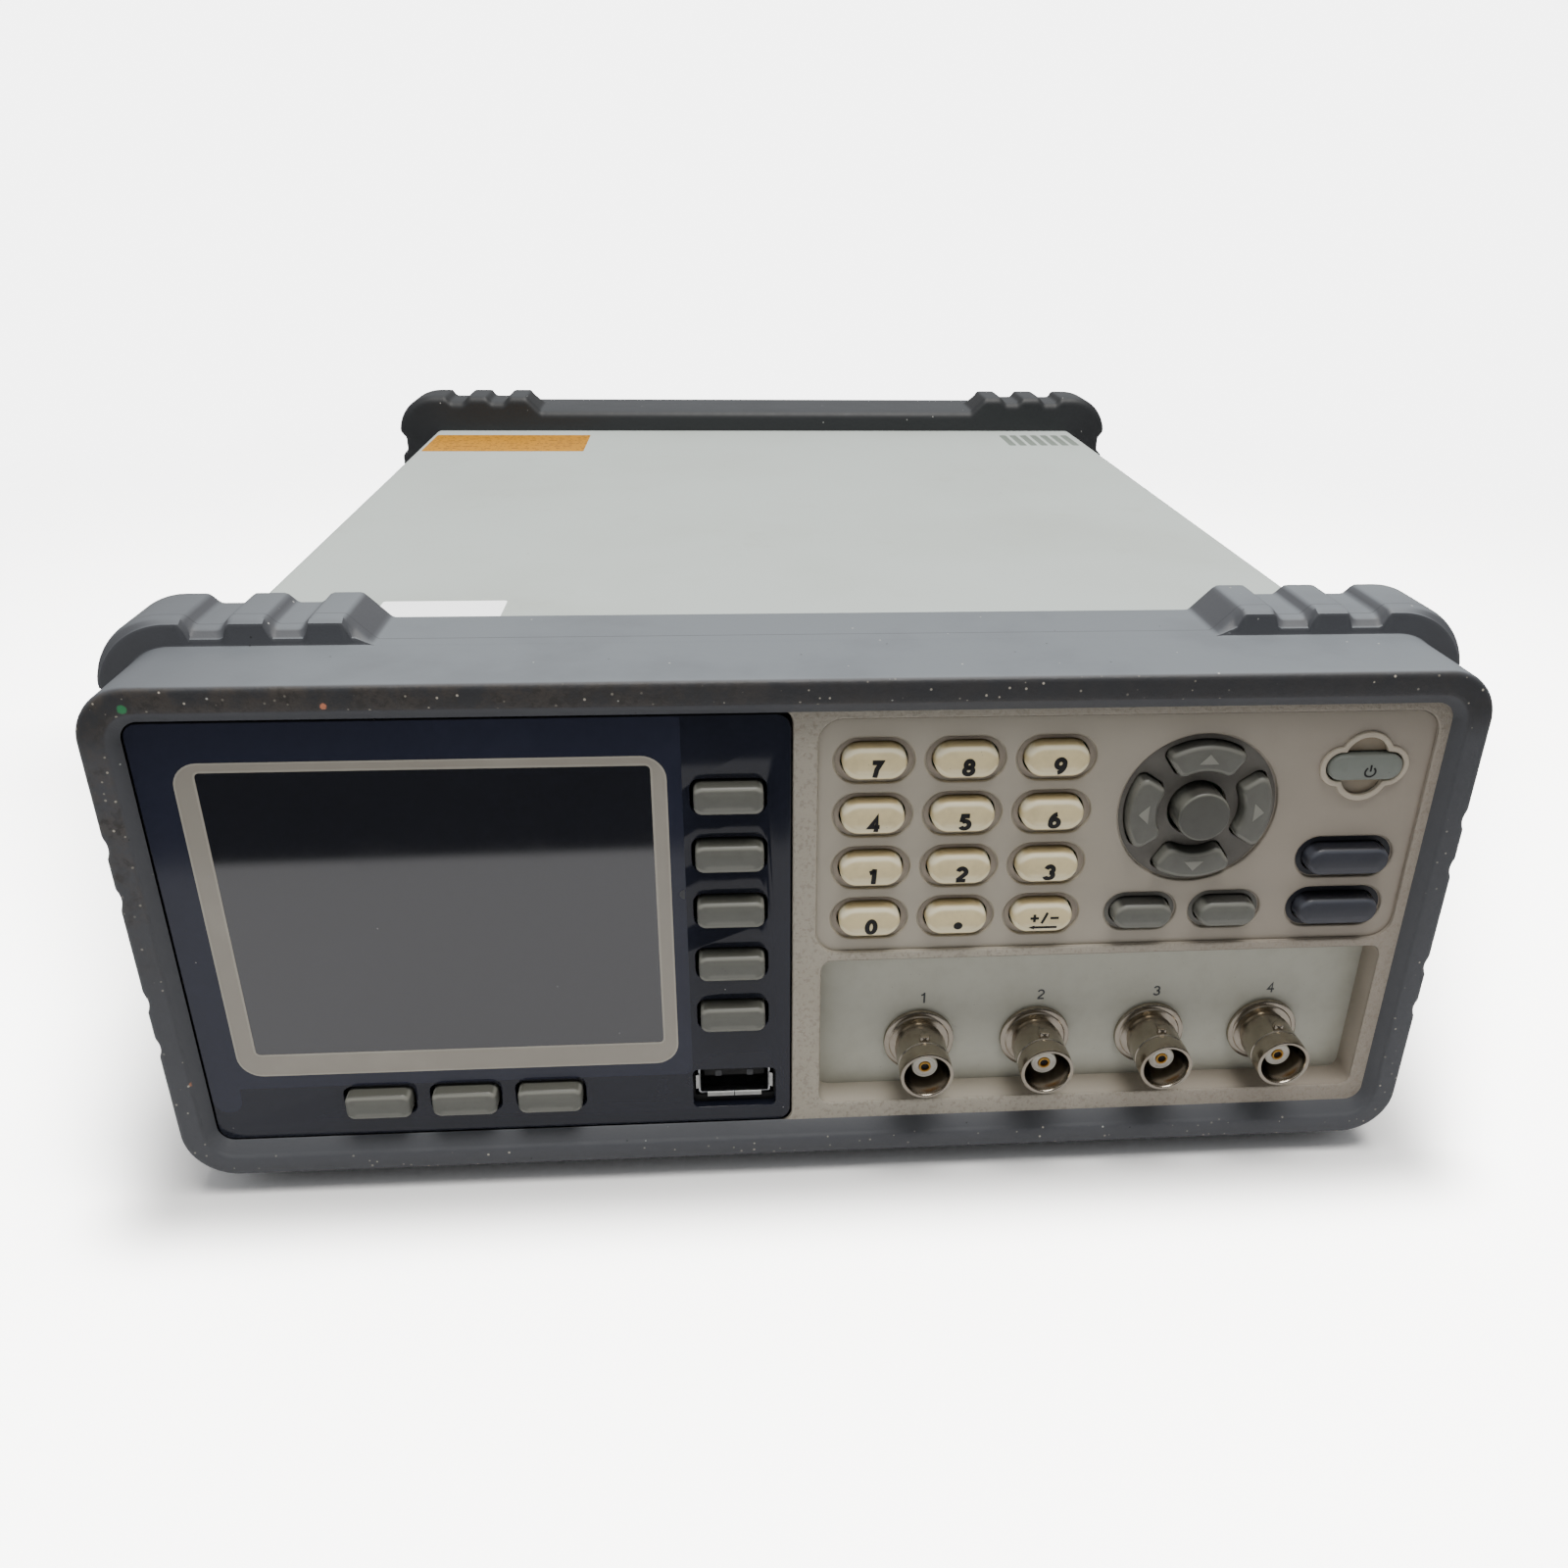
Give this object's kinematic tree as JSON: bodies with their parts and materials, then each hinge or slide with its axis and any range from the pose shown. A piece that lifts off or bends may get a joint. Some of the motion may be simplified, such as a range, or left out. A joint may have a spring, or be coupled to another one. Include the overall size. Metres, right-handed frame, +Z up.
{
  "type": "bench component tester",
  "caption": "Bench component tester: sheet case between rubber corner bumpers, colour display with keys, number pad, arrow cluster and a row of bayonet test sockets.",
  "frame": {"origin": "middle of the box's base, on the plane of the lower ribs that the tester stands on", "axes": "+X to the right as seen from the front, +Y from the front panel to the rear panel, +Z up"},
  "size_m": [0.234, 0.2886, 0.103],
  "materials": {
    "bumper_rubber": "soft moulded rubber, dusty and scuffed",
    "case_paint": "fine textured light grey paint",
    "chassis_steel": "zinc plated sheet",
    "panel_beige": "spark textured moulding",
    "window_navy": "printed glossy window",
    "display_black": "dark display glass in a metal frame",
    "board_green": "solder mask",
    "contact_gold": "gold plated",
    "spacer_brass": "turned brass",
    "screw_zinc": "zinc plated",
    "shield_tin": "tin plated sheet",
    "board_brown": "phenolic board",
    "transformer_tape": "yellow tape over ferrite",
    "capacitor_sleeve": "shrunk sleeve",
    "inlet_black": "moulded",
    "plated_steel": "bright nickel plate",
    "port_steel": "tin plated",
    "jack_nickel": "nickel plate, slightly warm",
    "insulator_white": "turned PTFE",
    "key_cream": "silicone rubber, grubby at the edges",
    "key_grey": "silicone rubber",
    "key_dark": "silicone rubber",
    "key_clear": "translucent silicone rubber",
    "soft_grey": "silicone rubber"
  },
  "bodies": {
    "tester": {"front_bumper": "bumper_rubber", "rear_bumper": "bumper_rubber", "top_cover": "case_paint", "chassis": "chassis_steel", "front_panel": "panel_beige", "display_window": "window_navy", "display_module": "display_black", "key_board": "board_green", "key_switches": "contact_gold", "main_board": "board_green", "board_standoffs": "spacer_brass", "board_screws": "screw_zinc", "shield_can": "shield_tin", "supply_board": "board_brown", "supply_transformer": "transformer_tape", "supply_capacitors": "capacitor_sleeve", "rear_panel": "case_paint", "mains_inlet": "inlet_black", "inlet_blades": "plated_steel", "serial_port": "port_steel", "handler_port": "port_steel", "port_screws": "spacer_brass", "earth_terminal": "plated_steel", "socket_shells": "jack_nickel", "socket_insulators": "insulator_white", "socket_contacts": "contact_gold", "socket_nuts": "jack_nickel", "usb_port": "port_steel", "case_screws": "screw_zinc"},
    "key_7_cap": {"key_7": "key_cream"},
    "key_8_cap": {"key_8": "key_cream"},
    "key_9_cap": {"key_9": "key_cream"},
    "key_4_cap": {"key_4": "key_cream"},
    "key_5_cap": {"key_5": "key_cream"},
    "key_6_cap": {"key_6": "key_cream"},
    "key_1_cap": {"key_1": "key_cream"},
    "key_2_cap": {"key_2": "key_cream"},
    "key_3_cap": {"key_3": "key_cream"},
    "key_0_cap": {"key_0": "key_cream"},
    "key_point_cap": {"key_point": "key_cream"},
    "key_sign_cap": {"key_sign": "key_cream"},
    "key_up_cap": {"key_up": "key_grey"},
    "key_down_cap": {"key_down": "key_grey"},
    "key_left_cap": {"key_left": "key_grey"},
    "key_right_cap": {"key_right": "key_grey"},
    "key_enter_cap": {"key_enter": "key_grey"},
    "key_esc_cap": {"key_esc": "key_grey"},
    "key_trigger_cap": {"key_trigger": "key_grey"},
    "key_measure_cap": {"key_measure": "key_dark"},
    "key_setup_cap": {"key_setup": "key_dark"},
    "key_power_cap": {"key_power": "key_clear"},
    "soft_key_1_cap": {"soft_key_1": "soft_grey"},
    "soft_key_2_cap": {"soft_key_2": "soft_grey"},
    "soft_key_3_cap": {"soft_key_3": "soft_grey"},
    "soft_key_4_cap": {"soft_key_4": "soft_grey"},
    "soft_key_5_cap": {"soft_key_5": "soft_grey"},
    "menu_key_1_cap": {"menu_key_1": "soft_grey"},
    "menu_key_2_cap": {"menu_key_2": "soft_grey"},
    "menu_key_3_cap": {"menu_key_3": "soft_grey"},
    "fuse_tray": {"fuse_drawer": "inlet_black"}
  },
  "joints": [
    {"name": "key_7_press", "type": "slide", "parent": "tester", "child": "key_7_cap", "axis": [0, 1, 0], "range_m": [0, 0.0012], "stiffness_N_per_m": 300, "springref_m": -0.0004},
    {"name": "key_8_press", "type": "slide", "parent": "tester", "child": "key_8_cap", "axis": [0, 1, 0], "range_m": [0, 0.0012], "stiffness_N_per_m": 300, "springref_m": -0.0004},
    {"name": "key_9_press", "type": "slide", "parent": "tester", "child": "key_9_cap", "axis": [0, 1, 0], "range_m": [0, 0.0012], "stiffness_N_per_m": 300, "springref_m": -0.0004},
    {"name": "key_4_press", "type": "slide", "parent": "tester", "child": "key_4_cap", "axis": [0, 1, 0], "range_m": [0, 0.0012], "stiffness_N_per_m": 300, "springref_m": -0.0004},
    {"name": "key_5_press", "type": "slide", "parent": "tester", "child": "key_5_cap", "axis": [0, 1, 0], "range_m": [0, 0.0012], "stiffness_N_per_m": 300, "springref_m": -0.0004},
    {"name": "key_6_press", "type": "slide", "parent": "tester", "child": "key_6_cap", "axis": [0, 1, 0], "range_m": [0, 0.0012], "stiffness_N_per_m": 300, "springref_m": -0.0004},
    {"name": "key_1_press", "type": "slide", "parent": "tester", "child": "key_1_cap", "axis": [0, 1, 0], "range_m": [0, 0.0012], "stiffness_N_per_m": 300, "springref_m": -0.0004},
    {"name": "key_2_press", "type": "slide", "parent": "tester", "child": "key_2_cap", "axis": [0, 1, 0], "range_m": [0, 0.0012], "stiffness_N_per_m": 300, "springref_m": -0.0004},
    {"name": "key_3_press", "type": "slide", "parent": "tester", "child": "key_3_cap", "axis": [0, 1, 0], "range_m": [0, 0.0012], "stiffness_N_per_m": 300, "springref_m": -0.0004},
    {"name": "key_0_press", "type": "slide", "parent": "tester", "child": "key_0_cap", "axis": [0, 1, 0], "range_m": [0, 0.0012], "stiffness_N_per_m": 300, "springref_m": -0.0004},
    {"name": "key_point_press", "type": "slide", "parent": "tester", "child": "key_point_cap", "axis": [0, 1, 0], "range_m": [0, 0.0012], "stiffness_N_per_m": 300, "springref_m": -0.0004},
    {"name": "key_sign_press", "type": "slide", "parent": "tester", "child": "key_sign_cap", "axis": [0, 1, 0], "range_m": [0, 0.0012], "stiffness_N_per_m": 300, "springref_m": -0.0004},
    {"name": "key_up_press", "type": "slide", "parent": "tester", "child": "key_up_cap", "axis": [0, 1, 0], "range_m": [0, 0.0012], "stiffness_N_per_m": 300, "springref_m": -0.0004},
    {"name": "key_down_press", "type": "slide", "parent": "tester", "child": "key_down_cap", "axis": [0, 1, 0], "range_m": [0, 0.0012], "stiffness_N_per_m": 300, "springref_m": -0.0004},
    {"name": "key_left_press", "type": "slide", "parent": "tester", "child": "key_left_cap", "axis": [0, 1, 0], "range_m": [0, 0.0012], "stiffness_N_per_m": 300, "springref_m": -0.0004},
    {"name": "key_right_press", "type": "slide", "parent": "tester", "child": "key_right_cap", "axis": [0, 1, 0], "range_m": [0, 0.0012], "stiffness_N_per_m": 300, "springref_m": -0.0004},
    {"name": "key_enter_press", "type": "slide", "parent": "tester", "child": "key_enter_cap", "axis": [0, 1, 0], "range_m": [0, 0.0012], "stiffness_N_per_m": 300, "springref_m": -0.0004},
    {"name": "key_esc_press", "type": "slide", "parent": "tester", "child": "key_esc_cap", "axis": [0, 1, 0], "range_m": [0, 0.0012], "stiffness_N_per_m": 300, "springref_m": -0.0004},
    {"name": "key_trigger_press", "type": "slide", "parent": "tester", "child": "key_trigger_cap", "axis": [0, 1, 0], "range_m": [0, 0.0012], "stiffness_N_per_m": 300, "springref_m": -0.0004},
    {"name": "key_measure_press", "type": "slide", "parent": "tester", "child": "key_measure_cap", "axis": [0, 1, 0], "range_m": [0, 0.0012], "stiffness_N_per_m": 300, "springref_m": -0.0004},
    {"name": "key_setup_press", "type": "slide", "parent": "tester", "child": "key_setup_cap", "axis": [0, 1, 0], "range_m": [0, 0.0012], "stiffness_N_per_m": 300, "springref_m": -0.0004},
    {"name": "key_power_press", "type": "slide", "parent": "tester", "child": "key_power_cap", "axis": [0, 1, 0], "range_m": [0, 0.0012], "stiffness_N_per_m": 300, "springref_m": -0.0004},
    {"name": "soft_key_1_press", "type": "slide", "parent": "tester", "child": "soft_key_1_cap", "axis": [0, 1, 0], "range_m": [0, 0.0012], "stiffness_N_per_m": 300, "springref_m": -0.0004},
    {"name": "soft_key_2_press", "type": "slide", "parent": "tester", "child": "soft_key_2_cap", "axis": [0, 1, 0], "range_m": [0, 0.0012], "stiffness_N_per_m": 300, "springref_m": -0.0004},
    {"name": "soft_key_3_press", "type": "slide", "parent": "tester", "child": "soft_key_3_cap", "axis": [0, 1, 0], "range_m": [0, 0.0012], "stiffness_N_per_m": 300, "springref_m": -0.0004},
    {"name": "soft_key_4_press", "type": "slide", "parent": "tester", "child": "soft_key_4_cap", "axis": [0, 1, 0], "range_m": [0, 0.0012], "stiffness_N_per_m": 300, "springref_m": -0.0004},
    {"name": "soft_key_5_press", "type": "slide", "parent": "tester", "child": "soft_key_5_cap", "axis": [0, 1, 0], "range_m": [0, 0.0012], "stiffness_N_per_m": 300, "springref_m": -0.0004},
    {"name": "menu_key_1_press", "type": "slide", "parent": "tester", "child": "menu_key_1_cap", "axis": [0, 1, 0], "range_m": [0, 0.0012], "stiffness_N_per_m": 300, "springref_m": -0.0004},
    {"name": "menu_key_2_press", "type": "slide", "parent": "tester", "child": "menu_key_2_cap", "axis": [0, 1, 0], "range_m": [0, 0.0012], "stiffness_N_per_m": 300, "springref_m": -0.0004},
    {"name": "menu_key_3_press", "type": "slide", "parent": "tester", "child": "menu_key_3_cap", "axis": [0, 1, 0], "range_m": [0, 0.0012], "stiffness_N_per_m": 300, "springref_m": -0.0004},
    {"name": "fuse_drawer_slide", "type": "slide", "parent": "tester", "child": "fuse_tray", "axis": [0, 1, 0], "range_m": [0, 0.01]}
  ]
}
